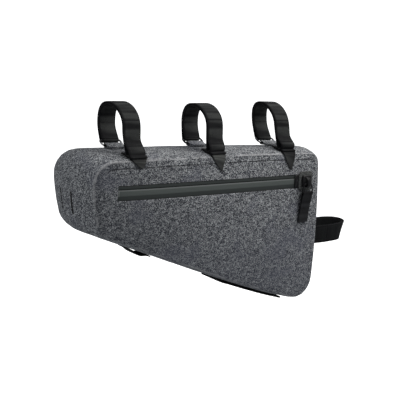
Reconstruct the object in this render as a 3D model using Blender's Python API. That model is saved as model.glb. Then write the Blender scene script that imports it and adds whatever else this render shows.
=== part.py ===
"""A bicycle frame bag with three loops for the top tube and one for the seat tube.

Metres, +Z up. X runs along the top edge from the short front end to the tall end, the zip is on
the -Y side, and the origin is the top tube's centre line in the middle loop."""

from math import cos, degrees, pi, radians, sin, tan

import bmesh
import bpy
from mathutils import Vector

# Body: the four edges of the side view, and the width across the bag
TOP_LENGTH = 0.394
FRONT_HEIGHT = 0.0925
TALL_HEIGHT = 0.2285
FRONT_LEAN = 0.019
TALL_LEAN = 0.014
FRONT_WIDTH = 0.100
TALL_WIDTH = 0.058
FRONT_TOP_RADIUS = 0.030
TALL_TOP_RADIUS = 0.019
TALL_BOTTOM_RADIUS = 0.030
FRONT_BOTTOM_RADIUS = 0.022
EDGE_RADIUS = 0.009
SIDE_CROWN = 0.006
WALL = 0.0016
CLEARANCE = 0.0003
SEAM_GAP = 0.0004
SEAM_ANGLE = 50.0

# Straps, the rings that they turn back through, and where the loops stand
STRAP_WIDTH = 0.025
STRAP_THICKNESS = 0.0019
LAYER_GAP = 0.0006
TAB_THICKNESS = 0.0013
RING_WIRE = 0.003
RING_PITCH = 0.0098
RING_TILT = 30.0
RING_SIDE_PLAY = 0.001
FIRST_LOOP = 0.074
LOOP_PITCH = 0.129
LOOP_HEIGHT = 0.0625
LOOP_WIDTH = 0.057
SEAT_LOOP_HEIGHT = 0.077
SEAT_LOOP_WIDTH = 0.044
SEAT_LOOP_DROP = 0.1255
TUBE_RISE = 0.034
BASE_REACH = 0.026
TAB_REACH = 0.014

# Zip on the near side
ZIP_START = 0.043
ZIP_LENGTH = 0.335
ZIP_DROP = 0.0316
ZIP_BAND = 0.0186
UPPER_TAPE = 0.0042
ZIP_SLOT = 0.0008
TAPE_THICKNESS = 0.0012
TAPE_RECESS = 0.0005
STOP_LENGTH = 0.007
GARAGE_LENGTH = 0.028
GARAGE_HEIGHT = 0.027
GARAGE_THICKNESS = 0.0018
GARAGE_CORNER = 0.005
GARAGE_OVERHANG = 0.002
STOP_RISE = 0.0012
STOP_CORNER = 0.0008
SLIDER_LENGTH = 0.018
SLIDER_HEIGHT = 0.017
SLIDER_THICKNESS = 0.0028
SLIDER_CORNER = 0.003
BRIDGE_WIDTH = 0.006
BRIDGE_THICKNESS = 0.0016
PULL_NARROWING = 0.35
PULL_SIDE_PLAY = 0.0006
PULL_LENGTH = 0.013
PULL_WIRE = 0.002
PULL_TAB_WIDTH = 0.0195
PULL_TAB_LENGTH = 0.043

# Slits in the front end, and the webbing under the bottom
SLIT_LENGTH = 0.028
SLIT_WIDTH = 0.0016
SLIT_SPACING = 0.025
SLIT_DROP = 0.044
BOTTOM_LOOP_START = 0.077
BOTTOM_LOOP_LENGTH = 0.038
BOTTOM_LOOP_STAND = 0.0035
BOTTOM_STRAP_START = 0.228
BOTTOM_STRAP_LENGTH = 0.135
BOTTOM_STRAP_STAND = 0.0026

# The side view's corners, clockwise from the front top one
FRONT_X = -(FIRST_LOOP + LOOP_PITCH)
TALL_X = FRONT_X + TOP_LENGTH
TOP_Z = -TUBE_RISE
CORNERS = (
    # x, z, corner radius
    (FRONT_X, TOP_Z, FRONT_TOP_RADIUS),
    (TALL_X, TOP_Z, TALL_TOP_RADIUS),
    (TALL_X + TALL_LEAN, TOP_Z - TALL_HEIGHT, TALL_BOTTOM_RADIUS),
    (FRONT_X + FRONT_LEAN, TOP_Z - FRONT_HEIGHT, FRONT_BOTTOM_RADIUS),
)
TOP, TALL, BOTTOM, FRONT = range(4)
SIDES = (
    # straight divisions, swell as a share of the width, bow as a share of the side, bow's place
    (8, 0.045, 0.004, 1.6),
    (5, 0.100, 0.013, 1.0),
    (8, 0.025, 0.010, 0.65),
    (3, 0.100, 0.010, 1.0),
)
CORNER_STEPS = 5
FACE_STEPS = (-1.0, -0.6, -0.2, 0.2, 0.6, 1.0)
EDGE_STEPS = (25.0,)
PANEL_EDGE_STEPS = (70.0, 90.0)
LAYER_EDGE_STEPS = (9.0, 18.0, 27.0, 36.0)
TAPE_STEPS = 16
PLATE_CORNER_STEPS = 3
PANEL_RINGS = (0.78, 0.52, 0.25)
# Where a panel's innermost ring is folded together to close it: the middle of the tall end
PANEL_FOLD = 2 * (CORNER_STEPS - 1) + SIDES[TOP][0] + 1 + (SIDES[TALL][0] + 1) // 2
# The panels' rings close in on a line between these two points
SPINE_START = (FRONT_X + 0.36 * FRONT_HEIGHT, TOP_Z - 0.55 * FRONT_HEIGHT)
SPINE_END = (TALL_X - 0.26 * TALL_HEIGHT, TOP_Z - 0.50 * TALL_HEIGHT)

# A strap loop's outer layer, up from its ring on the far side and down the near side
LOOP_PROFILE = (
    # share of half the loop's width, share of its height
    (1.00, 0.42),
    (1.04, 0.62),
    (0.97, 0.80),
    (0.72, 0.945),
    (0.30, 1.00),
    (-0.12, 0.985),
    (-0.50, 0.915),
    (-0.80, 0.79),
    (-0.95, 0.64),
    (-0.99, 0.46),
    (-1.02, 0.30),
)
MIDDLE_LOOP = FIRST_LOOP + LOOP_PITCH
REAR_LOOP = MIDDLE_LOOP + LOOP_PITCH
LOOPS = (
    # name, side, distance along it, height, width, lean, sway across, skew,
    # reach of the base's tip as a share of the strap's width
    ("front", TOP, FIRST_LOOP, LOOP_HEIGHT, 1.06 * LOOP_WIDTH, -0.04, 0.05, 0.0, 0.12),
    ("middle", TOP, MIDDLE_LOOP, 0.96 * LOOP_HEIGHT, LOOP_WIDTH, -0.03, 0.02, 0.0, 0.48),
    ("rear", TOP, REAR_LOOP, LOOP_HEIGHT, 0.88 * LOOP_WIDTH, -0.18, 0.10, 0.0, 0.64),
    ("seat", TALL, SEAT_LOOP_DROP, SEAT_LOOP_HEIGHT, SEAT_LOOP_WIDTH, 0.02, 0.0, 0.16, None),
)
# A ring's seated bar stands this far from the middle plane, as a share of the loops' width
RING_SEAT = 0.28
# The inner layer's bend over its foot: share of the way across, share of the loop's height
INNER_FOOT = (0.55, 0.16)
# The outer layer's last bend, with a pointed base and without one: the same two shares
POINTED_FOOT = (0.45, 0.15)
PLAIN_FOOT = (0.30, 0.15)
# A ring's tab, as shares of its reach from its bar: every step below, and its folded part above
TAB_STEPS = (1.0, 0.74, 0.5, 0.25, 0.0)
TAB_FOLD_STEPS = (0.5, 0.74, 1.0)
# The pointed end of a strap's base: the steps round the edge, in degrees, and the steps down the
# side panel. It narrows from the end of the strap's last layer to its tip, and leans as it goes.
BASE_EDGE_STEPS = (20.0, 36.0, 54.0, 72.0, 90.0)
BASE_TIP_STEPS = (0.5, 1.0)
BASE_TIP_WIDTH = 0.12
BASE_TIP_SHIFT = 0.14
# The slider's bridge, and the stations down the pull's webbing tab
BRIDGE_PROFILE = (
    # share of the slider's height, share of the bridge's stand over the slider
    (0.30, -0.20),
    (0.22, 0.64),
    (0.05, 1.00),
    (-0.30, 1.00),
    (-0.40, 0.64),
    (-0.46, -0.20),
)
PULL_BAR_DROP = 0.17
PULL_TAB_STEPS = (0.12, 0.3, 0.55, 0.8, 1.0)
# The webbing under the bottom, between its sewn ends
BOTTOM_LOOP_PROFILE = (
    # share of its length, share of its stand
    (0.00, 0.0),
    (0.18, 0.0),
    (0.34, 0.7),
    (0.50, 1.0),
    (0.66, 0.8),
    (0.80, 0.0),
    (1.00, 0.0),
)
BOTTOM_STRAP_PROFILE = (
    # share of its length, share of its stand
    (0.00, 0.0),
    (0.06, 0.0),
    (0.15, 1.0),
    (0.30, 0.9),
    (0.50, 0.75),
    (0.75, 0.4),
    (0.90, 0.0),
    (1.00, 0.0),
)


def new_material(name, colour, roughness, metallic=0.0):
    material = bpy.data.materials.new(name)
    material.use_nodes = True
    shader = material.node_tree.nodes["Principled BSDF"]
    shader.inputs["Base Color"].default_value = (*colour, 1.0)
    shader.inputs["Roughness"].default_value = roughness
    shader.inputs["Metallic"].default_value = metallic
    return material


def loft(name, rings, material, closed=False, fold=None):
    """One closed body through rings of points, joined round to the start or capped at its ends.

    A cap is a row of faces across the ring, from the two points that meet at the fold."""
    bm = bmesh.new()
    loops = [[bm.verts.new(point) for point in ring] for ring in rings]
    pairs = list(zip(loops, loops[1:]))
    if closed:
        pairs.append((loops[-1], loops[0]))
    else:
        count = len(loops[0])
        fold = fold or count // 2
        for ring in (loops[0], loops[-1]):
            for i in range(count // 2 - 1):
                low, high = fold - 1 - i, (fold + i) % count
                bm.faces.new((ring[low], ring[high], ring[(high + 1) % count], ring[low - 1]))
    for first, second in pairs:
        for i in range(len(first)):
            j = (i + 1) % len(first)
            bm.faces.new((first[i], first[j], second[j], second[i]))
    bmesh.ops.recalc_face_normals(bm, faces=bm.faces)
    mesh = bpy.data.meshes.new(name)
    bm.to_mesh(mesh)
    bm.free()
    mesh.shade_smooth()
    mesh.set_sharp_from_angle(angle=radians(35))
    mesh.materials.append(material)
    thing = bpy.data.objects.new(name, mesh)
    bpy.context.scene.collection.objects.link(thing)
    return thing


def box(name, low, high, material=None):
    spots = ((low[0], low[1]), (high[0], low[1]), (high[0], high[1]), (low[0], high[1]))
    return loft(name, [[(x, y, z) for x, y in spots] for z in (low[2], high[2])], material)


def boolean(thing, other, operation):
    modifier = thing.modifiers.new(operation.title(), "BOOLEAN")
    modifier.operation = operation
    modifier.object = other
    other.hide_render = True
    other.display_type = "WIRE"


def blend(first, second, share):
    return first + (second - first) * share


def smooth(points, steps):
    """Points on a Catmull-Rom curve through the given ones, with its two ends kept."""
    ends = [2 * points[0] - points[1], *points, 2 * points[-1] - points[-2]]
    curve = []
    for a, b, c, d in zip(ends, ends[1:], ends[2:], ends[3:]):
        for step in range(steps):
            t = step / steps
            bend = 2 * a - 5 * b + 4 * c - d
            twist = 3 * b - a - 3 * c + d
            curve.append(b + ((c - a) * t + bend * t**2 + twist * t**3) / 2)
    return curve + [points[-1]]


def side_line(side):
    """A side's start, direction, outward normal and length, in the side view."""
    start = Vector(CORNERS[side][:2])
    run = Vector(CORNERS[(side + 1) % 4][:2]) - start
    direction = run.normalized()
    return start, direction, Vector((-direction[1], direction[0])), run.length


def bow(side, share):
    return SIDES[side][2] * side_line(side)[3] * sin(pi * share ** SIDES[side][3])


def half_width(x):
    return blend(FRONT_WIDTH, TALL_WIDTH, (x - FRONT_X) / TOP_LENGTH) / 2


def side_y(x, z):
    """How far a side panel's outer skin stands from the middle plane."""
    drop = TOP_Z - z
    front = FRONT_X + FRONT_LEAN * drop / FRONT_HEIGHT
    tall = TALL_X + TALL_LEAN * drop / TALL_HEIGHT
    (x0, z0), (x1, z1) = CORNERS[FRONT][:2], CORNERS[BOTTOM][:2]
    bottom = blend(z0, z1, (x - x0) / (x1 - x0))
    along = min(1.0, abs(2 * (x - front) / (tall - front) - 1))
    across = min(1.0, abs(2 * (z - bottom) / (TOP_Z - bottom) - 1))
    return half_width(x) + SIDE_CROWN * (1 - along**4) * (1 - across**2)


def edge_y(x, z, normal):
    """The side panel's distance from the middle plane, where the rounded edge meets it."""
    return side_y(x - EDGE_RADIUS * normal[0], z - EDGE_RADIUS * normal[1])


def outline():
    """Points round the side view: x, z, outward normal and the swell of the gusset there."""
    points = []
    for side, (divisions, swell, *_) in enumerate(SIDES):
        start, direction, normal, length = side_line(side)
        before = side_line(side - 1)
        radius = CORNERS[side][2]
        turn = before[1].angle(direction)
        cut = radius * tan(turn / 2)
        centre = start - before[1] * cut - before[2] * radius
        last = CORNERS[(side + 1) % 4][2] * tan(direction.angle(side_line((side + 1) % 4)[1]) / 2)
        for step in range(1, CORNER_STEPS):
            share = step / CORNER_STEPS
            facing = before[2].slerp(normal, share)
            points.append((centre + facing * radius, facing, blend(SIDES[side - 1][1], swell, share)))
        for step in range(divisions + 1):
            share = step / divisions
            along = blend(cut, length - last, share)
            points.append((start + direction * along + normal * bow(side, share), normal, swell))
    return [(p[0], p[1], n, swell * 2 * half_width(p[0])) for p, n, swell in points]


def lift(step, swell):
    """How far the gusset's face swells out, at a share of the way from its middle to its edge."""
    steps = [abs(s) for s in FACE_STEPS if s > 0]
    heights = [swell * (1 - s * s) for s in steps]
    step = min(abs(step), 1.0)
    if step <= steps[0]:
        return heights[0]
    for low, high, a, b in zip(steps, steps[1:], heights, heights[1:]):
        if step <= high:
            return blend(a, b, (step - low) / (high - low))
    return 0.0


def body_point(x, z, normal, y, out):
    return Vector((x + normal[0] * out, y, z + normal[1] * out))


def edge_ring(points, angle, depth, sign):
    """A ring on the rounded edge between the gusset and a side panel."""
    ring = []
    radius = EDGE_RADIUS - depth
    for x, z, normal, _ in points:
        y = edge_y(x, z, normal) - EDGE_RADIUS + radius * sin(radians(angle))
        ring.append(body_point(x, z, normal, sign * y, radius * cos(radians(angle)) - EDGE_RADIUS))
    return ring


def face_ring(points, step, depth):
    ring = []
    for x, z, normal, swell in points:
        y = step * (edge_y(x, z, normal) - EDGE_RADIUS)
        ring.append(body_point(x, z, normal, y, lift(step, swell) - depth))
    return ring


def panel_ring(points, share, depth, sign):
    ring = []
    for x, z, normal, _ in points:
        x, z = x - EDGE_RADIUS * normal[0], z - EDGE_RADIUS * normal[1]
        reach = min(1.0, max(0.0, (x - SPINE_START[0]) / (SPINE_END[0] - SPINE_START[0])))
        x = blend(blend(SPINE_START[0], SPINE_END[0], reach), x, share)
        z = blend(blend(SPINE_START[1], SPINE_END[1], reach), z, share)
        ring.append(Vector((x, sign * (side_y(x, z) - depth), z)))
    return ring


def make_gusset(points, cloth):
    seam = SEAM_ANGLE - degrees(SEAM_GAP / 2 / EDGE_RADIUS)
    skins = []
    for depth in (0.0, WALL):
        near = [edge_ring(points, angle, depth, -1) for angle in (seam, *reversed(EDGE_STEPS))]
        face = [face_ring(points, step, depth) for step in FACE_STEPS]
        far = [edge_ring(points, angle, depth, 1) for angle in (*EDGE_STEPS, seam)]
        skins.append(near + face + far)
    gusset = loft("gusset", skins[0] + skins[1][::-1], cloth, closed=True)
    boolean(gusset, slit_cutter(), "DIFFERENCE")
    return gusset


def slit_cutter():
    """Two upright slits for a strap round the head tube, cut through the front end's wall."""
    slits = []
    middle = FRONT_X + FRONT_LEAN * SLIT_DROP / FRONT_HEIGHT
    reach = SIDES[FRONT][1] * FRONT_WIDTH + SLIT_LENGTH / 2
    for sign in (-1, 1):
        y = sign * SLIT_SPACING / 2
        low = (middle - reach, y - SLIT_WIDTH / 2, TOP_Z - SLIT_DROP - SLIT_LENGTH)
        high = (middle + reach, y + SLIT_WIDTH / 2, TOP_Z - SLIT_DROP)
        slits.append(box(f"slit_cutter_{len(slits)}", low, high))
    boolean(slits[0], slits[1], "UNION")
    slits[0].hide_render = True
    slits[0].display_type = "WIRE"
    return slits[0]


def make_panel(name, points, cloth, sign):
    seam = SEAM_ANGLE + degrees(SEAM_GAP / 2 / EDGE_RADIUS)
    skins = []
    for depth in (0.0, WALL):
        inner = [panel_ring(points, share, depth, sign) for share in reversed(PANEL_RINGS)]
        edge = [edge_ring(points, angle, depth, sign) for angle in reversed((seam, *PANEL_EDGE_STEPS))]
        skins.append(inner + edge)
    return loft(name, skins[0] + skins[1][::-1], cloth, fold=PANEL_FOLD)


def ribbon(name, lefts, rights, thickness, material):
    """A flat strip between two edges, its thickness laid half to each side."""
    rings = []
    for i, (left, right) in enumerate(zip(lefts, rights)):
        ahead = min(i + 1, len(lefts) - 1)
        behind = max(i - 1, 0)
        tangent = lefts[ahead] + rights[ahead] - lefts[behind] - rights[behind]
        normal = tangent.cross(right - left).normalized() * thickness / 2
        rings.append([left - normal, right - normal, right + normal, left + normal])
    return loft(name, rings, material)


def hoop(name, upper, lower, across, wire, material, narrowing=0.0):
    """A four-sided ring of round wire between the centres of its two long bars."""
    sideways = across.normalized()
    down = (lower - upper).normalized()
    facing = sideways.cross(down)
    radius = 0.8 * wire
    rings = []
    for corner, (a, b) in enumerate(((1, 1), (-1, 1), (-1, -1), (1, -1))):
        reach = across.length / 2 * (1 - narrowing * (1 - b) / 2) - radius
        middle = (upper, lower)[b > 0] - down * b * radius + sideways * a * reach
        for step in range(3):
            turn = (corner + step / 2) * pi / 2
            out = sideways * cos(turn) + down * sin(turn)
            turns = [2 * pi * (side + 0.5) / 6 for side in range(6)]
            rings.append([
                middle + out * radius + (out * cos(t) + facing * sin(t)) * wire / 2 for t in turns
            ])
    return loft(name, rings, material, closed=True)


class Seat:
    """A place on the gusset: along the side, across the bag and out from the skin, made points."""

    def __init__(self, side, distance):
        self.side = side
        self.distance = distance

    def edge(self, along):
        start, direction, normal, length = side_line(self.side)
        spot = start + direction * (self.distance + along)
        spot += normal * bow(self.side, (self.distance + along) / length)
        return spot, normal

    def half(self, along):
        """Half the width of the gusset's face and rounded edges together."""
        spot, normal = self.edge(along)
        return edge_y(spot[0], spot[1], normal)

    def point(self, along, across, out):
        spot, normal = self.edge(along)
        return body_point(spot[0], spot[1], normal, across, out)

    def face(self, along, across):
        """The skin's height over the edge line."""
        spot, _ = self.edge(along)
        swell = SIDES[self.side][1] * 2 * half_width(spot[0])
        return lift(across / (self.half(along) - EDGE_RADIUS), swell)

    def rounded(self, along, angle, out):
        """Across and out, on the rounded edge of the near side."""
        radius = EDGE_RADIUS + out
        across = -(self.half(along) - EDGE_RADIUS + radius * sin(radians(angle)))
        return across, radius * cos(radians(angle)) - EDGE_RADIUS


def ring_bars(seat, along):
    """Across and out of a strap ring's two bar centres, the seated one first."""
    across = RING_SEAT * LOOP_WIDTH
    out = seat.face(along, across) + TAB_THICKNESS + 3 * CLEARANCE + RING_WIRE / 2
    rise = Vector((cos(radians(RING_TILT)), sin(radians(RING_TILT)))) * RING_PITCH
    return Vector((across, out)), Vector((across, out)) + rise


def strap_profile(seat, along, height, width, sway, tip):
    """Across and out along a loop strap: up its inner layer, round the ring's bar, back over."""
    half = seat.half(along)
    _, bar = ring_bars(seat, along)
    turn = RING_WIRE / 2 + 2 * CLEARANCE + STRAP_THICKNESS / 2
    outer = [
        Vector((share * width / 2 + sway * height, rise * height)) for share, rise in LOOP_PROFILE
    ]
    rise = (outer[0] - bar).normalized()
    aside = Vector((rise[1], -rise[0]))
    outer.insert(0, bar + aside * turn)
    inner = [bar - aside * turn]
    spacing = STRAP_THICKNESS + LAYER_GAP
    for before, here, after in zip(outer, outer[1:], outer[2:]):
        run = (after - before).normalized()
        inner.append(here + Vector((-run[1], run[0])) * spacing)
    foot = -(half - BASE_REACH / 2)
    stand = CLEARANCE + TAB_THICKNESS + CLEARANCE + STRAP_THICKNESS / 2
    inner.append(Vector((blend(inner[-1][0], foot, INNER_FOOT[0]), INNER_FOOT[1] * height)))
    inner.append(Vector((foot, seat.face(along, foot) + stand)))
    if tip:
        last, (across, rise_share) = -half, POINTED_FOOT
        end = [Vector(seat.rounded(along, angle, stand)) for angle in LAYER_EDGE_STEPS]
    else:
        last, (across, rise_share) = -(half - EDGE_RADIUS), PLAIN_FOOT
        end = [Vector((last, stand))]
    outer.append(Vector((blend(-width / 2, last, across), rise_share * height)))
    bend = [
        bar - (aside * cos(angle) + rise * sin(angle)) * turn for angle in (pi / 4, pi / 2, 3 * pi / 4)
    ]
    return smooth(inner, 2)[::-1] + bend + smooth([*outer, end[0]], 2) + end[1:]


def make_loop(row, strap_cloth, tab_cloth, metal):
    name, side, distance, height, width, lean, sway, skew, tip = row
    seat = Seat(side, distance)
    edges = []
    for hand in (-1, 1):
        along = hand * STRAP_WIDTH / 2
        sink = skew * (hand + 1) / 2
        edges.append([
            seat.point(along + lean * out, across, out - sink * out**3 / height**2)
            for across, out in strap_profile(seat, along, height, width, sway, tip)
        ])
    kind = "seat" if side == TALL else "top"
    label = "" if side == TALL else f"_{name}"
    ribbon(f"{kind}_strap{label}", *edges, STRAP_THICKNESS, strap_cloth)
    lower, upper = ring_bars(seat, 0.0)
    across = seat.point(STRAP_WIDTH / 2, 0.0, 0.0) - seat.point(-STRAP_WIDTH / 2, 0.0, 0.0)
    across = across.normalized() * (STRAP_WIDTH + 2 * RING_SIDE_PLAY + RING_WIRE)
    shift = lean * upper[1]
    bars = [seat.point(along, *spot) for along, spot in ((shift, upper), (0.0, lower))]
    hoop(f"{kind}_ring{label}", *bars, across, RING_WIRE, metal)
    make_ring_tab(f"{kind}_ring_tab{label}", seat, tab_cloth)
    make_base(f"{kind}_strap_base{label}", seat, tip, strap_cloth)


def make_ring_tab(name, seat, cloth):
    """A short tab laid on the gusset, turned round the ring's seated bar and back on itself."""
    edges = []
    for hand in (-1, 1):
        along = hand * STRAP_WIDTH / 2
        bar, _ = ring_bars(seat, along)
        turn = RING_WIRE / 2 + 2 * CLEARANCE + TAB_THICKNESS / 2
        rest = CLEARANCE + TAB_THICKNESS / 2
        layer = TAB_THICKNESS + CLEARANCE
        path = []
        for share in TAB_STEPS:
            across = bar[0] - TAB_REACH * share
            path.append(Vector((across, seat.face(along, across) + rest)))
        path += [bar + Vector((sin(a), -cos(a))) * turn for a in (pi / 4, pi / 2, 3 * pi / 4, pi)]
        for share in TAB_FOLD_STEPS:
            across = bar[0] - TAB_REACH * share
            path.append(Vector((across, seat.face(along, across) + rest + layer)))
        edges.append([seat.point(along, *spot) for spot in path])
    return ribbon(name, *edges, TAB_THICKNESS, cloth)


def make_base(name, seat, tip, cloth):
    """The strip a strap is sewn to: on the gusset's face and, at the top, over the near edge."""
    edges = []
    stand = CLEARANCE + TAB_THICKNESS / 2
    for hand in (-1, 1):
        along = hand * STRAP_WIDTH / 2
        half = seat.half(along)
        face = half - EDGE_RADIUS
        starts = [half - BASE_REACH, 0.6 * face, face]
        edge = [
            seat.point(along, -across, seat.face(along, across) + stand) for across in sorted(starts)
        ]
        if tip:
            start = radians(LAYER_EDGE_STEPS[-1]) * EDGE_RADIUS
            quarter = pi / 2 * EDGE_RADIUS
            end = quarter + tip * STRAP_WIDTH
            for angle in BASE_EDGE_STEPS:
                way = max(0.0, (radians(angle) * EDGE_RADIUS - start) / (end - start))
                reach = along * blend(1.0, BASE_TIP_WIDTH, way) + STRAP_WIDTH * BASE_TIP_SHIFT * way**2
                edge.append(seat.point(reach, *seat.rounded(reach, angle, stand)))
            for step in BASE_TIP_STEPS:
                way = (blend(quarter, end, step) - start) / (end - start)
                reach = along * blend(1.0, BASE_TIP_WIDTH, way) + STRAP_WIDTH * BASE_TIP_SHIFT * way**2
                spot = seat.point(reach, 0.0, -EDGE_RADIUS - tip * STRAP_WIDTH * step)
                edge.append(Vector((spot.x, -(side_y(spot.x, spot.z) + stand), spot.z)))
        edges.append(edge)
    return ribbon(name, *edges, TAB_THICKNESS, cloth)


def on_side(x, z, out):
    """A point over the near panel's skin."""
    return Vector((x, -(side_y(x, z) + out), z))


def tape(name, top, bottom, cloth):
    """A strip of zip tape along the window, just under the panel's skin."""
    depth = TAPE_RECESS + TAPE_THICKNESS / 2
    start = FRONT_X + ZIP_START + CLEARANCE
    pitch = (ZIP_LENGTH - 2 * CLEARANCE) / TAPE_STEPS
    stations = [start + pitch * i for i in range(TAPE_STEPS + 1)]
    edges = [[on_side(x, z, -depth) for x in stations] for z in (top, bottom)]
    return ribbon(name, *edges, TAPE_THICKNESS, cloth)


def plate(name, low, high, inner, outer, corner, material):
    """A flat piece on the near panel with rounded corners and a chamfered outer edge."""
    chamfer = 0.4 * (outer - inner)
    spots = ((high[0], high[1]), (low[0], high[1]), (low[0], low[1]), (high[0], low[1]))
    rings = []
    for inset, out in ((0.0, inner), (0.0, outer - chamfer), (chamfer, outer)):
        ring = []
        for index, (x, z) in enumerate(spots):
            for step in range(PLATE_CORNER_STEPS + 1):
                turn = (index + step / PLATE_CORNER_STEPS) * pi / 2
                reach = corner - inset
                cx = x - corner if x == high[0] else x + corner
                cz = z - corner if z == high[1] else z + corner
                ring.append(on_side(cx + reach * cos(turn), cz + reach * sin(turn), out))
        rings.append(ring)
    return loft(name, rings, material)


def make_zip(panel, tape_cloth, rubber, metal, webbing):
    top = TOP_Z - ZIP_DROP
    bottom = top - ZIP_BAND
    left = FRONT_X + ZIP_START
    right = left + ZIP_LENGTH
    reach = max(FRONT_WIDTH, TALL_WIDTH)
    window = box("zip_window_cutter", (left, -reach, bottom), (right, 0.0, top))
    boolean(panel, window, "DIFFERENCE")
    split = top - CLEARANCE - UPPER_TAPE
    tape("zip_upper_tape", top - CLEARANCE, split, tape_cloth)
    tape("zip_lower_tape", split - ZIP_SLOT, bottom + CLEARANCE, tape_cloth)

    garage_left = right + GARAGE_OVERHANG - GARAGE_LENGTH
    middle = (top + bottom) / 2
    low = (garage_left, middle - GARAGE_HEIGHT / 2)
    high = (garage_left + GARAGE_LENGTH, middle + GARAGE_HEIGHT / 2)
    plate("zip_garage", low, high, CLEARANCE, CLEARANCE + GARAGE_THICKNESS, GARAGE_CORNER, rubber)
    stop_right = garage_left - CLEARANCE
    low = (stop_right - STOP_LENGTH, bottom + CLEARANCE)
    high = (stop_right, top - CLEARANCE)
    plate("zip_stop", low, high, -TAPE_RECESS + CLEARANCE, STOP_RISE, STOP_CORNER, rubber)
    make_slider(garage_left + GARAGE_LENGTH / 2, middle, rubber, metal, webbing)


def make_slider(x, middle, rubber, metal, webbing):
    """The slider with its bridge, the pull that hangs in the bridge, and the webbing tab on it."""
    seat = 2 * CLEARANCE + GARAGE_THICKNESS
    crest = seat + SLIDER_THICKNESS
    low = (x - SLIDER_LENGTH / 2, middle - SLIDER_HEIGHT / 2)
    high = (x + SLIDER_LENGTH / 2, middle + SLIDER_HEIGHT / 2)
    slider = plate("zip_slider", low, high, seat, crest, SLIDER_CORNER, rubber)
    bar_z = middle - PULL_BAR_DROP * SLIDER_HEIGHT
    stand = PULL_WIRE + 4 * CLEARANCE + BRIDGE_THICKNESS / 2
    edges = []
    for hand in (-1, 1):
        side = x + hand * BRIDGE_WIDTH / 2
        edges.append([
            on_side(side, middle + share * SLIDER_HEIGHT, crest + rise * stand)
            for share, rise in BRIDGE_PROFILE
        ])
    bridge = ribbon("zip_bridge", *edges, BRIDGE_THICKNESS, rubber)
    boolean(slider, bridge, "UNION")

    hang = crest + 2 * CLEARANCE + PULL_WIRE / 2
    lower_z = bar_z - PULL_LENGTH
    upper, lower = on_side(x, bar_z, hang), on_side(x, lower_z, hang)
    across = (on_side(high[0], lower_z, hang) - on_side(low[0], lower_z, hang)).normalized()
    breadth = PULL_TAB_WIDTH + 2 * PULL_SIDE_PLAY + PULL_WIRE
    hoop("zip_pull", upper, lower, across * breadth, PULL_WIRE, metal, PULL_NARROWING)

    turn = PULL_WIRE / 2 + 2 * CLEARANCE + TAPE_THICKNESS / 2
    rest = 2 * CLEARANCE + TAPE_THICKNESS / 2
    edges = []
    for hand in (-1, 1):
        top = lower + across * hand * PULL_TAB_WIDTH / 2
        layers = ([], [])
        for share in PULL_TAB_STEPS:
            z = blend(lower_z, lower_z - PULL_TAB_LENGTH, share)
            away = blend(rest, hang - turn, (1 - share) ** 2 * (1 + 2 * share))
            spacing = blend(TAPE_THICKNESS + CLEARANCE, 2 * turn, (1 - share) ** 6)
            layers[0].append(on_side(top.x, z, away))
            layers[1].append(on_side(top.x, z, away + spacing))
        bend = [
            top + Vector((0.0, cos(a), sin(a))) * turn for a in (0.0, pi / 4, pi / 2, 3 * pi / 4, pi)
        ]
        edges.append(layers[0][::-1] + bend + layers[1])
    ribbon("pull_tab", *edges, TAPE_THICKNESS, webbing)


def make_bottom_webbing(name, start, length, stand, profile, cloth):
    """Webbing along the bottom's middle, standing off the gusset between its sewn ends."""
    edges = []
    side_length = side_line(BOTTOM)[3]
    for hand in (-1, 1):
        edge = []
        for share, rise in profile:
            seat = Seat(BOTTOM, side_length - start - length * share)
            across = hand * STRAP_WIDTH / 2
            skin = max(seat.face(0.0, 0.0), seat.face(0.0, across))
            rest = skin + CLEARANCE + STRAP_THICKNESS / 2
            edge.append(seat.point(0.0, across, rest + rise * stand))
        edges.append(edge)
    return ribbon(name, *edges, STRAP_THICKNESS, cloth)


def main():
    for thing in list(bpy.data.objects):
        bpy.data.objects.remove(thing)
    cloth = new_material("heather_cloth", (0.10, 0.105, 0.115), 0.85)
    top_cloth = new_material("heather_cloth_light", (0.15, 0.155, 0.165), 0.85)
    webbing = new_material("black_webbing", (0.018, 0.019, 0.020), 0.8)
    tape_cloth = new_material("zip_tape", (0.035, 0.040, 0.040), 0.55)
    rubber = new_material("black_rubber", (0.020, 0.022, 0.022), 0.5)
    metal = new_material("dark_metal", (0.20, 0.20, 0.21), 0.35, 0.9)

    points = outline()
    make_gusset(points, top_cloth)
    near = make_panel("near_panel", points, cloth, -1)
    make_panel("far_panel", points, cloth, 1)
    make_zip(near, tape_cloth, rubber, metal, webbing)
    for row in LOOPS:
        make_loop(row, webbing, top_cloth, metal)
    low_loop = (BOTTOM_LOOP_START, BOTTOM_LOOP_LENGTH, BOTTOM_LOOP_STAND, BOTTOM_LOOP_PROFILE)
    make_bottom_webbing("bottom_loop_front", *low_loop, webbing)
    long_strap = (BOTTOM_STRAP_START, BOTTOM_STRAP_LENGTH, BOTTOM_STRAP_STAND, BOTTOM_STRAP_PROFILE)
    make_bottom_webbing("bottom_strap_rear", *long_strap, webbing)


main()
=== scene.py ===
"""The looks of the bicycle frame bag: its heathered cloth, webbing, zip, rings, light and camera."""

from math import cos, pi, radians, sin

import bpy
import numpy as np
from mathutils import Matrix, Vector, noise
from mathutils.bvhtree import BVHTree


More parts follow.
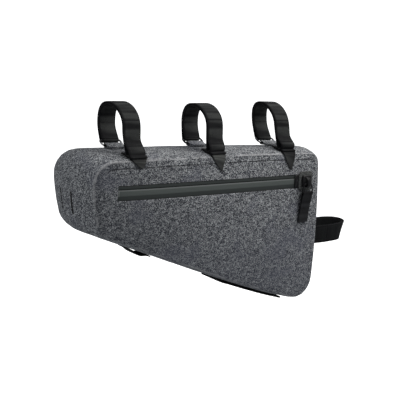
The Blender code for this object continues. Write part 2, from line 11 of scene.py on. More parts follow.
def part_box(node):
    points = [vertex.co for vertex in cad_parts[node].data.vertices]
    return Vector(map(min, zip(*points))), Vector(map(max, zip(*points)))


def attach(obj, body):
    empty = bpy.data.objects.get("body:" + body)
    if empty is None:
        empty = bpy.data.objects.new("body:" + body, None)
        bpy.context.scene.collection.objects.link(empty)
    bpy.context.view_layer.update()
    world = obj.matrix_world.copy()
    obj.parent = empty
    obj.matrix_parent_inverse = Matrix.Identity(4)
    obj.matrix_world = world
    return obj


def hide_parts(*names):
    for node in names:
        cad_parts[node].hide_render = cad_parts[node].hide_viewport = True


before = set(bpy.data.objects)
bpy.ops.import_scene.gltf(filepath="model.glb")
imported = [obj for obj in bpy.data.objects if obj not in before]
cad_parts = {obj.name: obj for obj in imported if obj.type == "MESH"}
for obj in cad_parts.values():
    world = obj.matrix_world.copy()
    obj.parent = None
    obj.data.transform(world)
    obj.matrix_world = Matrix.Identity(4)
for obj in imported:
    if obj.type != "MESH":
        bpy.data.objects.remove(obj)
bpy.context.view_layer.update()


# The bag's body: the gusset and both side panels, one welded shell of coated polyester cloth. The
# solids are joined and skinned over, and a cloth simulation held at the welds, the zip and the sewn
# straps blows it up a little. The welds stand up as a low ridge, and the straps press the cloth in.
BODY_NODES = ("gusset", "near_panel", "far_panel")
SEWN_NODES = (
    "seat_strap_base", "seat_ring_tab", "bottom_loop_front", "bottom_strap_rear",
    "top_strap_base_front", "top_strap_base_middle", "top_strap_base_rear",
    "top_ring_tab_front", "top_ring_tab_middle", "top_ring_tab_rear",
)
FIXED_NODES = ("zip_upper_tape", "zip_lower_tape", "zip_stop", "zip_garage", *SEWN_NODES)
BODY_VOXEL = 0.0045
BODY_PRESSURE = 4.0
BODY_CAP = 0.0022
CLOTH_STEPS = 20
HELD_WITHIN = 0.005
FREE_BEYOND = 0.024
RIPPLE = 0.0005
RIPPLE_SPAN = 0.034
RIPPLE_OCTAVES = 3
MERGE_WITHIN = 0.00002
RECESS_DEPTH = 0.0035
LINING_DEPTH = 0.006
# Near-black colours for the bag's inside where it shows in the cuts: painted shade for the dark
# inside.
LINING_SHADE_DARK = (0.006, 0.006, 0.007)
LINING_SHADE_LIGHT = (0.014, 0.014, 0.015)
LINING_SCALE = 1400
WELD_RISE = 0.0010
WELD_HALF = 0.0035
WELD_FADE = 0.008
PRESSED_IN = 0.0012


class Value:
    """A node's output, with Python's arithmetic made of Math nodes."""

    def __init__(self, finish, socket):
        self.finish = finish
        self.socket = socket

    def math(self, operation, *others, swap=False):
        terms = (*others, self) if swap else (self, *others)
        return self.finish.node("Math", {"operation": operation}, dict(enumerate(terms)))

    def __add__(self, other):
        return self.math("ADD", other)

    def __radd__(self, other):
        return self.math("ADD", other)

    def __sub__(self, other):
        return self.math("SUBTRACT", other)

    def __rsub__(self, other):
        return self.math("SUBTRACT", other, swap=True)

    def __mul__(self, other):
        return self.math("MULTIPLY", other)

    def __rmul__(self, other):
        return self.math("MULTIPLY", other)

    def __abs__(self):
        return self.math("ABSOLUTE")


class Finish:
    """A material while it is made: its shader, and the nodes that feed it."""

    def __init__(self, name, roughness, metallic=0.0, gloss=0.5):
        self.material = bpy.data.materials.new(name)
        self.material.use_nodes = True
        self.tree = self.material.node_tree
        self.shader = self.tree.nodes["Principled BSDF"]
        self.shader.inputs["Roughness"].default_value = roughness
        self.shader.inputs["Metallic"].default_value = metallic
        self.shader.inputs["Specular IOR Level"].default_value = gloss
        self.place = self.node("TexCoord", output="Object")

    def feed(self, socket, value):
        if isinstance(value, Value):
            self.tree.links.new(value.socket, socket)
        else:
            socket.default_value = value

    def node(self, kind, settings=(), inputs=(), output=0):
        """A node of that kind, its settings made first, then its sockets' values or links."""
        made = self.tree.nodes.new("ShaderNode" + kind)
        for key, value in dict(settings).items():
            if key == "stops":
                ramp = made.color_ramp
                while len(ramp.elements) < len(value):
                    ramp.elements.new(1.0)
                for element, (position, colour) in zip(ramp.elements, value):
                    element.position = position
                    element.color = (*colour, 1.0)
            else:
                setattr(made, key, value)
        for key, value in dict(inputs).items():
            self.feed(made.inputs[key], value)
        return Value(self, made.outputs[output])

    def noise(self, scale, detail=2.0, distortion=0.0, place=None):
        inputs = {"Vector": place or self.place, "Scale": scale, "Detail": detail}
        return self.node("TexNoise", {}, {**inputs, "Distortion": distortion})

    def fade(self, value, start, end, low=0.0, high=1.0):
        """low at start and before, high at end and after, smooth between them."""
        return self.node(
            "MapRange",
            {"interpolation_type": "SMOOTHSTEP"},
            {"Value": value, "From Min": start, "From Max": end, "To Min": low, "To Max": high},
        )

    def band(self, value, centre, half, soft):
        """1 within half of the centre, and 0 from soft beyond that."""
        return self.fade(abs(value - centre), half, half + soft, 1.0, 0.0)

    def mix(self, factor, first, second):
        """A mix of two colours. The node's colours are its sockets 6 and 7, and its result is 2."""
        inputs = {"Factor": factor}
        for key, colour in ((6, first), (7, second)):
            inputs[key] = (*colour, 1.0) if isinstance(colour, tuple) else colour
        return self.node("Mix", {"data_type": "RGBA"}, inputs, output=2)

    def bump(self, height, distance, strength=1.0):
        return self.node("Bump", {}, {"Strength": strength, "Distance": distance, "Height": height})

    def shade(self, **inputs):
        """Links values to the shader's own sockets and gives the material."""
        for key, value in inputs.items():
            self.feed(self.shader.inputs[key.replace("_", " ")], value)
        return self.material


def deselect():
    for thing in bpy.context.selected_objects:
        thing.select_set(False)


def copied(name, *nodes):
    """One new piece from copies of the frame's solids, their loose triangles merged."""
    deselect()
    for node in nodes:
        piece = bpy.data.objects.new(name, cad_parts[node].data.copy())
        piece.data.materials.clear()
        bpy.context.scene.collection.objects.link(piece)
        piece.select_set(True)
    bpy.context.view_layer.objects.active = piece
    if len(nodes) > 1:
        bpy.ops.object.join()
    piece.name = name
    bpy.ops.object.mode_set(mode="EDIT")
    bpy.ops.mesh.select_all(action="SELECT")
    bpy.ops.mesh.remove_doubles(threshold=MERGE_WITHIN)
    bpy.ops.object.mode_set(mode="OBJECT")
    return piece


def finished(piece, material, slot, *nodes):
    """Gives a piece its material and its place in the frame."""
    piece.data.materials.append(material)
    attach(piece, "root")
    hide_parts(*nodes)
    return piece


def surface(*nodes):
    """What finds the nearest point of some of the frame's solids."""
    points, faces = [], []
    for node in nodes:
        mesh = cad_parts[node].data
        faces += [[corner + len(points) for corner in face.vertices] for face in mesh.polygons]
        points += [vertex.co.copy() for vertex in mesh.vertices]
    return BVHTree.FromPolygons(points, faces)


def apply(piece, kind, **settings):
    """Adds a modifier and applies it."""
    deselect()
    piece.select_set(True)
    bpy.context.view_layer.objects.active = piece
    modifier = piece.modifiers.new(kind.title(), kind)
    for key, value in settings.items():
        setattr(modifier, key, value)
    bpy.ops.object.modifier_apply(modifier=modifier.name)


def places(mesh):
    spots = np.empty(len(mesh.vertices) * 3)
    mesh.vertices.foreach_get("co", spots)
    return spots.reshape(-1, 3)


body = copied("bag_body", *BODY_NODES)
bpy.ops.object.mode_set(mode="EDIT")
bpy.ops.mesh.select_all(action="SELECT")
bpy.ops.mesh.convex_hull()
bpy.ops.object.mode_set(mode="OBJECT")
body.data.remesh_voxel_size = BODY_VOXEL
bpy.ops.object.voxel_remesh()

fixed = surface(*FIXED_NODES)
sewn = surface(*SEWN_NODES)
gusset_skin = surface("gusset")
panel_skins = surface("near_panel", "far_panel")


def past_weld(spot):
    """How far this is from the weld between gusset and panel: above 0 on a panel."""
    return gusset_skin.find_nearest(spot)[3] - panel_skins.find_nearest(spot)[3]


def slack(spot):
    """How free the cloth is here: 0 at a weld or a sewn piece, 1 well away from them."""
    near = min(abs(past_weld(spot)), fixed.find_nearest(spot)[3])
    share = min(1.0, max(0.0, (near - HELD_WITHIN) / (FREE_BEYOND - HELD_WITHIN)))
    return share * share * (3 - 2 * share)


held = body.vertex_groups.new(name="held")
for vertex in body.data.vertices:
    held.add([vertex.index], 1 - slack(vertex.co), "REPLACE")
flat = places(body.data)
cloth = body.modifiers.new("Cloth", "CLOTH")
cloth.settings.vertex_group_mass = "held"
cloth.settings.use_pressure = True
cloth.settings.uniform_pressure_force = BODY_PRESSURE
cloth.settings.effector_weights.gravity = 0
for step in range(1, CLOTH_STEPS + 1):
    bpy.context.scene.frame_set(step)
bpy.ops.object.modifier_apply(modifier=cloth.name)
blown = places(body.data)
move = blown - flat
moved_by = np.linalg.norm(move, axis=1, keepdims=True)
blown = flat + move * np.minimum(1.0, BODY_CAP / np.maximum(moved_by, 1e-9))
body.data.vertices.foreach_set("co", blown.ravel())
bpy.context.scene.frame_set(1)
body.vertex_groups.clear()

apply(body, "SUBSURF", levels=1, render_levels=1)
for vertex, normal in zip(body.data.vertices, [v.normal.copy() for v in body.data.vertices]):
    wave = noise.fractal(vertex.co / RIPPLE_SPAN, 1.0, 2.0, RIPPLE_OCTAVES)
    rise = WELD_RISE * max(0.0, 1 - abs(past_weld(vertex.co)) / WELD_HALF)
    rise *= min(1.0, fixed.find_nearest(vertex.co)[3] / WELD_FADE)
    rise -= max(0.0, PRESSED_IN - sewn.find_nearest(vertex.co)[3])
    vertex.co += normal * (RIPPLE * wave * slack(vertex.co) + rise)

# The walls of the cuts are the bag's inside, painted near-black as painted shade for the dark inside
# behind the slits and the zip's slot.
lining_shade_finish = Finish("lining_painted_shade", 0.9)
lining_weave = lining_shade_finish.noise(LINING_SCALE, 1.0)
LINING_SHADE = lining_shade_finish.shade(
    Base_Color=lining_shade_finish.mix(lining_weave, LINING_SHADE_DARK, LINING_SHADE_LIGHT),
    Normal=lining_shade_finish.bump(lining_weave, 0.0002),
)


def cut(piece, low, high, shift=0.0):
    """Cuts a box out of the piece, with its inner end at the +X side shifted along Y."""
    deselect()
    middle = [(a + b) / 2 for a, b in zip(low, high)]
    span = [b - a for a, b in zip(low, high)]
    bpy.ops.mesh.primitive_cube_add(size=1.0, location=middle, scale=span)
    cutter = bpy.context.object
    bpy.ops.object.transform_apply(location=True, rotation=True, scale=True)
    cutter.data.materials.append(LINING_SHADE)
    bpy.ops.object.mode_set(mode="EDIT")
    bpy.ops.mesh.select_mode(type="VERT")
    bpy.ops.mesh.select_all(action="DESELECT")
    bpy.ops.object.mode_set(mode="OBJECT")
    for vertex in cutter.data.vertices:
        vertex.select = vertex.co.x > middle[0] and vertex.co.y > middle[1]
    bpy.ops.object.mode_set(mode="EDIT")
    bpy.ops.transform.translate(value=(0.0, shift, 0.0))
    bpy.ops.object.mode_set(mode="OBJECT")
    how = {"operation": "DIFFERENCE", "solver": "EXACT", "material_mode": "TRANSFER"}
    apply(piece, "BOOLEAN", object=cutter, **how)
    bpy.data.objects.remove(cutter)


def end_depth(node, side):
    """The inner face's place along Y at one end of a solid: side 0 is -X and 1 is +X."""
    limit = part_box(node)[side].x
    return max(v.co.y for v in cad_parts[node].data.vertices if abs(v.co.x - limit) < 0.001)


# The cloth's finish: short dark and light fibres that lie along the bag, in a grey that turns bluer
# lower down. The welds are worn pale, and a painted highlight lies on the weld at the front's top
# corner. The panels darken towards the front in painted shade, with a painted shadow beside the
# weld there, and a dark line is pressed into them beside the weld.
CLOTH_DARK = (0.013, 0.014, 0.018)
CLOTH_DIM = (0.062, 0.065, 0.074)
CLOTH_MID = (0.125, 0.130, 0.140)
CLOTH_LIGHT = (0.40, 0.41, 0.42)
CLOTH_LOW = (0.086, 0.090, 0.118)
HEATHER_STOPS = ((0.44, CLOTH_DARK), (0.49, CLOTH_DIM), (0.525, CLOTH_MID), (0.565, CLOTH_LIGHT))
WORN_AND_HIGHLIGHT_TONE = (0.32, 0.32, 0.33)
SHADE_TONE = (0.022, 0.024, 0.030)
PRESSED_TONE = (0.010, 0.010, 0.012)
CLUMP_SCALE = 260
FIBRE_SCALE = 950
FLECK_SCALE = 1250
TINT_SCALE = 20
WORN_SCALE = 45
BREAK_SCALE = 200
FIBRE_TILT = 0.10
FIBRE_STRETCH = 0.7
FRONT_STARTS = -0.07
FRONT_FULL = -0.12
PRESSED_LINE = 0.0080
PRESSED_HALF = 0.0003
cloth_finish = Finish("heather_cloth", 0.85, gloss=0.18)
from_weld = cloth_finish.node("Attribute", {"attribute_name": "seam"}, output="Fac")
cloth_z = cloth_finish.node("SeparateXYZ", {}, {"Vector": cloth_finish.place}, output="Z")
cloth_x = cloth_finish.node("SeparateXYZ", {}, {"Vector": cloth_finish.place}, output="X")
grain = {"Rotation": (0.0, FIBRE_TILT, 0.0), "Scale": (FIBRE_STRETCH, 1.0, 1.0)}
laid = cloth_finish.node("Mapping", {}, {"Vector": cloth_finish.place, **grain})
clumps = cloth_finish.noise(CLUMP_SCALE, 1.0, 0.4, laid)
fibres = cloth_finish.noise(FIBRE_SCALE, 1.0, 0.8, laid)
flecks = cloth_finish.noise(FLECK_SCALE, 1.0, 1.2)
specks = 0.15 * clumps + 0.50 * fibres + 0.35 * flecks
heather = cloth_finish.node("ValToRGB", {"stops": HEATHER_STOPS}, {"Fac": specks})
low_down = cloth_finish.fade(cloth_z, -0.07, -0.22)
tone = cloth_finish.mix(0.05 + 0.25 * low_down, heather, CLOTH_LOW)
tint = cloth_finish.fade(cloth_finish.noise(TINT_SCALE), 0.52, 0.66)
tone = cloth_finish.mix(0.35 * tint, tone, CLOTH_LOW)
at_front = cloth_finish.fade(cloth_x, FRONT_STARTS, FRONT_FULL)
worn = cloth_finish.band(from_weld, 0.0, 0.0004, 0.0010)
worn = worn * cloth_finish.fade(cloth_finish.noise(WORN_SCALE), 0.42, 0.58)
# Painted highlight: the weld at the front's top corner is lit pale, mixed into one pale tone with
# the real wear along the welds.
crest_highlight = cloth_finish.band(from_weld, -0.0006, 0.0008, 0.0012) * at_front
crest_highlight = crest_highlight * cloth_finish.fade(cloth_z, -0.110, -0.065)
crest_highlight = crest_highlight * cloth_finish.fade(specks, 0.44, 0.54, 0.35, 0.85)
tone = cloth_finish.mix((0.6 * worn).math("MAXIMUM", crest_highlight), tone, WORN_AND_HIGHLIGHT_TONE)
# Painted shadow: a dark band just inside the weld at the front, below the lit crest.
shadow = cloth_finish.band(from_weld, 0.0035, 0.0010, 0.0050) * at_front
# Painted shade: the panels darken towards the front, where less light falls on them.
front_shade = cloth_finish.fade(cloth_x, 0.02, -0.13) * cloth_finish.fade(from_weld, 0.001, 0.012)
tone = cloth_finish.mix(0.35 * shadow + 0.26 * front_shade, tone, SHADE_TONE)
breaks = cloth_finish.fade(cloth_finish.noise(BREAK_SCALE, 1.0), 0.34, 0.46)
along_top = cloth_finish.fade(cloth_z, -0.052, -0.047)
along_end = 0.6 * cloth_finish.fade(cloth_x, 0.165, 0.180)
pressed = cloth_finish.band(from_weld, PRESSED_LINE, PRESSED_HALF, 0.0006) * breaks
pressed = pressed * along_top.math("MAXIMUM", along_end)
tone = cloth_finish.mix(pressed * 0.85, tone, PRESSED_TONE)
relief = specks + 2.0 * cloth_finish.band(from_weld, 0.0, 0.0006, 0.0014) - 2.0 * pressed
CLOTH = cloth_finish.shade(
    Base_Color=tone,
    Roughness=cloth_finish.fade(specks, 0.4, 0.6, 0.95, 0.75),
    Normal=cloth_finish.bump(relief, 0.0004, 0.6),
)

body.data.materials.append(CLOTH)
WINDOW_GAP = 0.0004
CLEAR_OF_NEAR_SIDE = -0.080
CLEAR_OF_FRONT = -0.4
upper_box, lower_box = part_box("zip_upper_tape"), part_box("zip_lower_tape")
left_floor = end_depth("zip_lower_tape", 0) + RECESS_DEPTH
right_floor = end_depth("zip_lower_tape", 1) + RECESS_DEPTH
cut(
    body,
    (lower_box[0].x - WINDOW_GAP, CLEAR_OF_NEAR_SIDE, lower_box[0].z - WINDOW_GAP),
    (lower_box[1].x + WINDOW_GAP, left_floor, upper_box[1].z + WINDOW_GAP),
    right_floor - left_floor,
)
SLIT_LENGTH = 0.028
SLIT_WIDTH = 0.0030
SLIT_SPACING = 0.025
SLIT_TOP = -0.078
for side in (-1, 1):
    across = side * SLIT_SPACING / 2
    ahead = Vector((CLEAR_OF_FRONT, across, SLIT_TOP - SLIT_LENGTH / 2))
    skin = body.ray_cast(ahead, Vector((1, 0, 0)))[1]
    cut(
        body,
        (skin.x - 0.02, across - SLIT_WIDTH / 2, SLIT_TOP - SLIT_LENGTH),
        (skin.x + LINING_DEPTH, across + SLIT_WIDTH / 2, SLIT_TOP),
    )
seam = body.data.attributes.new("seam", "FLOAT", "POINT")
seam.data.foreach_set("value", [past_weld(vertex.co) for vertex in body.data.vertices])
body.data.shade_smooth()
body.data.set_sharp_from_angle(angle=radians(40))
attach(body, "root")
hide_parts(*BODY_NODES)


# The webbing: three loops for the top tube, one for the seat tube, the bases that they are sewn
# to, and two pieces under the bottom, the rear one drawn up to the cloth. Woven black polyester
# with cross ribs and darker long edges, and stitching where a layer is sewn down.
WEB_EDGE = 0.0005
STRAP_HALF = 0.0125
LOOP_RADIUS = 0.030
TOP_STRAPS = ("front", "middle", "rear")
WEB_DARK = (0.005, 0.005, 0.006)
WEB_EDGE_TONE = (0.004, 0.004, 0.005)
STITCH_TONE = (0.003, 0.003, 0.004)
STITCH_HALF = 0.0003
STITCH_SOFT = 0.0006
RIB_PITCH = 0.0016
ROW_COUNT = 9
THREAD_SCALE = 1300
SHINE_SCALE = 85
SHINE_WIDTH = 0.0012


def softened(piece, edge, levels):
    """Rounds a copied solid's edges and smooths its bends."""
    bpy.context.view_layer.objects.active = piece
    bpy.ops.object.mode_set(mode="EDIT")
    bpy.ops.mesh.select_all(action="SELECT")
    bpy.ops.mesh.tris_convert_to_quads(face_threshold=radians(70), shape_threshold=radians(70))
    bpy.ops.object.mode_set(mode="OBJECT")
    if edge:
        apply(piece, "BEVEL", width=edge, segments=2, angle_limit=radians(50))
    apply(piece, "SUBSURF", levels=levels, render_levels=levels)
    piece.data.shade_smooth()
    return piece


def webbing(name, light, stitch=()):
    """Webbing whose width runs along the piece's own 'across' attribute, from -1 to 1."""
    finish = Finish(name, 0.8, gloss=0.10)
    across = finish.node("Attribute", {"attribute_name": "across"}, output="Fac")
    along = finish.node("Attribute", {"attribute_name": "along"}, output="Fac")
    ribs = (along * (2 * pi / RIB_PITCH)).math("SINE") * 0.5 + 0.5
    rows = (across * (2 * pi * ROW_COUNT)).math("SINE") * 0.5 + 0.5
    thread = finish.noise(THREAD_SCALE, 1.0)
    weave = 0.4 * ribs + 0.2 * rows + 0.8 * (thread - 0.1)
    edges = finish.fade(abs(across), 0.76, 0.94)
    stretch = finish.node("CombineXYZ", {}, {"X": across * SHINE_WIDTH, "Y": along})
    shine = finish.fade(finish.noise(SHINE_SCALE, 1.0, 0.0, stretch), 0.40, 0.62)
    tone = finish.mix(weave * (0.05 + 0.95 * shine), WEB_DARK, light)
    tone = finish.mix(edges * 0.85, tone, WEB_EDGE_TONE)
    height = weave - 1.5 * edges
    for place in stitch:
        line = finish.band(along, place, STITCH_HALF, STITCH_SOFT)
        tone = finish.mix(line * 0.85, tone, STITCH_TONE)
        height = height - 2.0 * line
    return finish.shade(
        Base_Color=tone,
        Roughness=finish.fade(weave, 0.2, 1.0, 0.90, 0.70),
        Normal=finish.bump(height, 0.0004, 0.8),
    )


def measured(piece, width_axis, height_axis, along):
    """Writes how far across and along the webbing each point lies."""
    spots = places(piece.data)
    slope, start = np.polyfit(spots[:, height_axis], spots[:, width_axis], 1)
    across = (spots[:, width_axis] - start - slope * spots[:, height_axis]) / STRAP_HALF
    for name, values in (("across", across), ("along", along(spots))):
        made = piece.data.attributes.new(name, "FLOAT", "POINT")
        made.data.foreach_set("value", values)


def round_the_loop(spots):
    """Distance along a top loop, from the height on its legs and the angle over its top."""
    over_top = LOOP_RADIUS * np.arctan2(spots[:, 2], -spots[:, 1])
    return np.where(spots[:, 2] > 0, over_top, spots[:, 2])


STRAP_LIGHT = (0.050, 0.052, 0.051)
BASE_LIGHT = (0.070, 0.073, 0.070)
SEAT_LIGHT = (0.009, 0.010, 0.010)
STRAP_WEB = webbing("strap_webbing", STRAP_LIGHT, stitch=(-0.020, 0.012))
BASE_WEB = webbing("base_webbing", BASE_LIGHT)
for loop in TOP_STRAPS:
    strap = softened(copied(f"loop_webbing_{loop}", f"top_strap_{loop}"), WEB_EDGE, 2)
    measured(strap, 0, 2, round_the_loop)
    finished(strap, STRAP_WEB, "webbing", f"top_strap_{loop}")
    base = softened(copied(f"loop_base_{loop}", f"top_strap_base_{loop}"), WEB_EDGE / 2, 1)
    measured(base, 0, 2, lambda spots: spots[:, 1])
    finished(base, BASE_WEB, "webbing", f"top_strap_base_{loop}")
seat = softened(copied("seat_loop_webbing", "seat_strap"), WEB_EDGE, 2)
measured(seat, 2, 0, lambda spots: spots[:, 0])
SEAT_WEB = webbing("seat_strap_webbing", SEAT_LIGHT, stitch=(0.226,))
finished(seat, SEAT_WEB, "webbing", "seat_strap")
base = softened(copied("seat_loop_base", "seat_strap_base"), WEB_EDGE / 2, 1)
measured(base, 2, 0, lambda spots: spots[:, 1])
finished(base, BASE_WEB, "webbing", "seat_strap_base")
FATTENED = 0.0006
CLOTH_GAP = 0.0008
STATIONS = 10
INWARD = Vector((0.29, 0.0, 0.957))


def drawn_in(strip):
    """Thickens a strip and draws it up to the bag, the same way all across at each place."""
    bpy.ops.object.mode_set(mode="EDIT")
    bpy.ops.mesh.select_all(action="SELECT")
    bpy.ops.transform.shrink_fatten(value=FATTENED)
    bpy.ops.object.mode_set(mode="OBJECT")
    spots = places(strip.data)
    stations = np.linspace(spots[:, 0].min(), spots[:, 0].max(), STATIONS)
    nearest = np.digitize(spots[:, 0], (stations[1:] + stations[:-1]) / 2)
    starts = [Vector((spot[0], 0.0, spot[2])) for spot in spots]
    clear = np.array([(body.ray_cast(start, INWARD)[1] - start).length for start in starts])
    used = np.unique(nearest)
    least = [clear[nearest == station].min() for station in used]
    moves = np.interp(spots[:, 0], stations[used], least) - CLOTH_GAP
    strip.data.vertices.foreach_set("co", (spots + np.outer(moves, INWARD)).ravel())


for name, node in (
    ("bottom_webbing_front", "bottom_loop_front"),
    ("bottom_webbing_rear", "bottom_strap_rear"),
):
    strip = softened(copied(name, node), WEB_EDGE, 1)
    if node == "bottom_strap_rear":
        drawn_in(strip)
    measured(strip, 1, 0, lambda spots: spots[:, 0])
    finished(strip, SEAT_WEB, "webbing", node)


# The rings that the straps turn back through, each of 3 mm wire, coated satin black and rubbed
# to bare metal on the bars, and the short cloth tabs that hold them on the bag.
RING_DARK = (0.030, 0.031, 0.033)
RING_BARE = (0.42, 0.42, 0.43)
ring_finish = Finish("ring_metal", 0.32, metallic=0.9)
rubbed = ring_finish.fade(ring_finish.noise(180, 3.0), 0.48, 0.66)
RING = ring_finish.shade(
    Base_Color=ring_finish.mix(rubbed, RING_DARK, RING_BARE),
    Roughness=ring_finish.fade(rubbed, 0.0, 1.0, 0.30, 0.48),
    Normal=ring_finish.bump(ring_finish.noise(700), 0.0001),
)
for name, ring, tab in [
    *((f"_{loop}", f"top_ring_{loop}", f"top_ring_tab_{loop}") for loop in TOP_STRAPS),
    ("_seat", "seat_ring", "seat_ring_tab"),
]:
    wire = softened(copied("wire_ring" + name, ring), 0.0, 2)
    finished(wire, RING, "metal", ring)
    holder = softened(copied("ring_holder" + name, tab), WEB_EDGE / 2, 1)
    away = holder.data.attributes.new("seam", "FLOAT", "POINT")
    away.data.foreach_set("value", [1.0] * len(holder.data.vertices))
    finished(holder, CLOTH, "cloth_top", tab)


# The zip: two coated tapes that meet at a dark slot, the lower one with a raised, paler half.
# The stop, the slider and its pull are moulded rubber, the garage is a speckled patch, and the tab
# is webbing.
TAPE_DARK = (0.022, 0.027, 0.026)
TAPE_PALE = (0.064, 0.074, 0.071)
LIP_TONE = (0.20, 0.21, 0.21)
RULE_TONE = (0.028, 0.032, 0.031)
TAPE_TOP_SHADE = (0.008, 0.009, 0.009)
TAPE_GRAIN_TONE = (0.034, 0.038, 0.037)
TAPE_GRAIN_SCALE = 900
RULE_PITCH = 0.0019
STEP_BELOW_SLOT = 0.0076
tape_finish = Finish("coated_tape", 0.5, gloss=0.25)
tape_z = tape_finish.node("SeparateXYZ", {}, {"Vector": tape_finish.place}, output="Z")
tape_x = tape_finish.node("SeparateXYZ", {}, {"Vector": tape_finish.place}, output="X")
slot_z = lower_box[1].z
step_z = slot_z - STEP_BELOW_SLOT
tape_grain = tape_finish.noise(TAPE_GRAIN_SCALE)
pale = tape_finish.fade(tape_z, step_z - 0.0003, step_z + 0.0003)
pale = pale * tape_finish.fade(tape_z, slot_z, slot_z - 0.0004)
lip = tape_finish.band(tape_z, slot_z - 0.0009, 0.0004, 0.0005)
rules = (tape_z * (2 * pi / RULE_PITCH)).math("SINE") * 0.5 + 0.5
# Painted shade: a dark line along the top edge of the zip's window, under the cloth's edge above it.
top_edge_shade = tape_finish.band(tape_z, upper_box[1].z, 0.0006, 0.0006)
front_end = tape_finish.band(tape_x, lower_box[0].x + 0.0012, 0.0004, 0.0008) * pale
tape_tone = tape_finish.mix(pale, TAPE_DARK, TAPE_PALE)
tape_tone = tape_finish.mix((lip + front_end) * 0.6, tape_tone, LIP_TONE)
tape_tone = tape_finish.mix(rules * 0.35 * pale, tape_tone, RULE_TONE)
tape_tone = tape_finish.mix(top_edge_shade * 0.8, tape_tone, TAPE_TOP_SHADE)
tape_tone = tape_finish.mix(tape_grain * 0.25, tape_tone, TAPE_GRAIN_TONE)
TAPE = tape_finish.shade(
    Base_Color=tape_tone,
    Roughness=tape_finish.fade(tape_grain, 0.3, 0.7, 0.40, 0.58),
    Normal=tape_finish.bump(0.5 * tape_grain + 0.6 * rules * pale, 0.0002, 0.5),
)
for name, node in (("zip_tape_top", "zip_upper_tape"), ("zip_tape_bottom", "zip_lower_tape")):
    tape = copied(name, node)
    bpy.ops.object.mode_set(mode="EDIT")
    bpy.ops.mesh.select_all(action="SELECT")
    bpy.ops.mesh.bisect(plane_co=(0.0, 0.0, step_z), plane_no=(0.0, 0.0, 1.0))
    bpy.ops.object.mode_set(mode="OBJECT")
    apply(tape, "BEVEL", width=0.0002, segments=2, angle_limit=radians(50))
    tape.data.shade_smooth()
    tape.data.set_sharp_from_angle(angle=radians(35))
    finished(tape, TAPE, "zip_tape", node)

RUBBER_BLACK = (0.003, 0.003, 0.004)
RUBBER_SCUFFED = (0.028, 0.031, 0.030)
PATCH_DARK = (0.018, 0.019, 0.019)
PATCH_LIGHT = (0.085, 0.088, 0.087)
PULL_TAB_LIGHT = (0.030, 0.031, 0.034)
rubber_finish = Finish("moulded_rubber", 0.36, gloss=0.18)
rubber_grain = rubber_finish.noise(1100)
scuffs = rubber_finish.fade(rubber_finish.noise(160, 3.0), 0.55, 0.72)
RUBBER = rubber_finish.shade(
    Base_Color=rubber_finish.mix(scuffs * 0.6, RUBBER_BLACK, RUBBER_SCUFFED),
    Roughness=rubber_finish.fade(rubber_grain, 0.3, 0.7, 0.36, 0.56),
    Normal=rubber_finish.bump(rubber_grain, 0.0001, 0.5),
)
patch_finish = Finish("garage_patch", 0.6, gloss=0.2)
patch_grain = patch_finish.noise(700, 2.0, 0.8)
patch_speck = patch_finish.fade(patch_grain, 0.40, 0.62)
PATCH = patch_finish.shade(
    Base_Color=patch_finish.mix(patch_speck, PATCH_DARK, PATCH_LIGHT),
    Normal=patch_finish.bump(patch_grain, 0.0002, 0.5),
)
for name, node, material, rounding in (
    ("stop_moulding", "zip_stop", RUBBER, 0.0003),
    ("garage_moulding", "zip_garage", PATCH, 0.0004),
    ("slider_moulding", "zip_slider", RUBBER, 0.0003),
):
    part = copied(name, node)
    apply(part, "BEVEL", width=rounding, segments=2, angle_limit=radians(30))
    part.data.shade_smooth()
    part.data.set_sharp_from_angle(angle=radians(40))
    finished(part, material, "rubber", node)
pull = softened(copied("pull_ring", "zip_pull"), 0.0, 2)
finished(pull, RUBBER, "metal", "zip_pull")
tab = softened(copied("pull_webbing", "pull_tab"), WEB_EDGE / 2, 2)
measured(tab, 0, 2, lambda spots: spots[:, 2])
finished(tab, webbing("pull_tab_webbing", PULL_TAB_LIGHT), "webbing", "pull_tab")


# The studio: a pale floor and dome that glow like a light table, so that nothing shades them,
# soft light from a panel above and to the right and a weaker one at the left, and the camera at
# the angle that the photograph was taken from.
deselect()
FLOOR_Z = -0.42
DOME_RADIUS = 20.0
bpy.ops.mesh.primitive_plane_add(size=2 * DOME_RADIUS, location=(0.0, 0.0, FLOOR_Z))
floor = bpy.context.object
floor.name = "floor"
deselect()
bpy.ops.mesh.primitive_uv_sphere_add(
    segments=64, ring_count=32, radius=DOME_RADIUS, location=(0.0, 0.0, FLOOR_Z)
)
backdrop = bpy.context.object
backdrop.name = "backdrop"
glow = Finish("white_glow", 0.9, gloss=0.0)
glow.shader.inputs["Base Color"].default_value = (0.8, 0.8, 0.8, 1.0)
glow.shader.inputs["Emission Strength"].default_value = 1.0
WHITE = glow.shade(Emission_Color=glow.mix(glow.noise(3.0), (0.96, 0.96, 0.96), (1.0, 1.0, 1.0)))
for sheet in (floor, backdrop):
    sheet.visible_diffuse = False
    sheet.visible_glossy = False
    sheet.visible_shadow = False
    sheet.data.materials.append(WHITE)

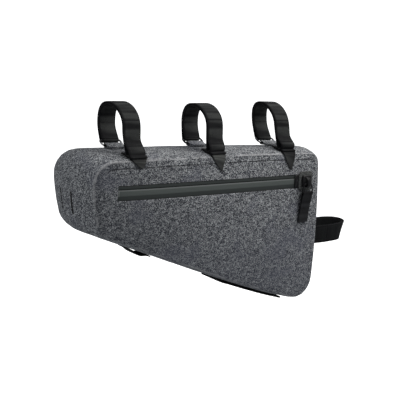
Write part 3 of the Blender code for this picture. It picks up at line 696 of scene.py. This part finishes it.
world = bpy.data.worlds.new("studio")
bpy.context.scene.world = world
world.use_nodes = True
world.node_tree.nodes["Background"].inputs["Color"].default_value = (0.95, 0.98, 1.0, 1.0)
world.node_tree.nodes["Background"].inputs["Strength"].default_value = 0.45


def lamp(name, place, aim, size, power, colour):
    light = bpy.data.lights.new(name, "AREA")
    light.color = colour
    light.size = size
    light.energy = power
    thing = bpy.data.objects.new(name, light)
    turn = (Vector(place) - Vector(aim)).to_track_quat("Z", "Y")
    thing.matrix_world = Matrix.Translation(place) @ turn.to_matrix().to_4x4()
    bpy.context.scene.collection.objects.link(thing)


lamp(
    "top_light",
    place=(0.55, -0.36, 0.85),
    aim=(0.05, 0.0, -0.1),
    size=0.8,
    power=14.5,
    colour=(1.0, 0.985, 0.95),
)
lamp(
    "side_light",
    place=(-1.2, -0.10, 0.35),
    aim=(0.0, 0.0, -0.1),
    size=0.6,
    power=2.5,
    colour=(1.0, 1.0, 1.0),
)

CAMERA_AZIMUTH = radians(-38)
CAMERA_HEIGHT = radians(11.14)
CAMERA_ROLL = radians(5)
CAMERA_DISTANCE = 1.423
CAMERA_LENS = 95.5
AIM = Vector((0.0052, 0.0, -0.1014))
back = Vector((
    sin(CAMERA_AZIMUTH) * cos(CAMERA_HEIGHT),
    -cos(CAMERA_AZIMUTH) * cos(CAMERA_HEIGHT),
    sin(CAMERA_HEIGHT),
))
right = Vector((cos(CAMERA_AZIMUTH), sin(CAMERA_AZIMUTH), 0.0))
up = back.cross(right)
turned = Matrix((
    cos(CAMERA_ROLL) * right + sin(CAMERA_ROLL) * up,
    -sin(CAMERA_ROLL) * right + cos(CAMERA_ROLL) * up,
    back,
)).transposed().to_4x4()
turned.translation = AIM + back * CAMERA_DISTANCE
camera = bpy.data.objects.new("camera", bpy.data.cameras.new("camera"))
camera.data.lens = CAMERA_LENS
camera.matrix_world = turned
bpy.context.scene.collection.objects.link(camera)
bpy.context.scene.camera = camera
bpy.context.scene.view_settings.view_transform = "Standard"
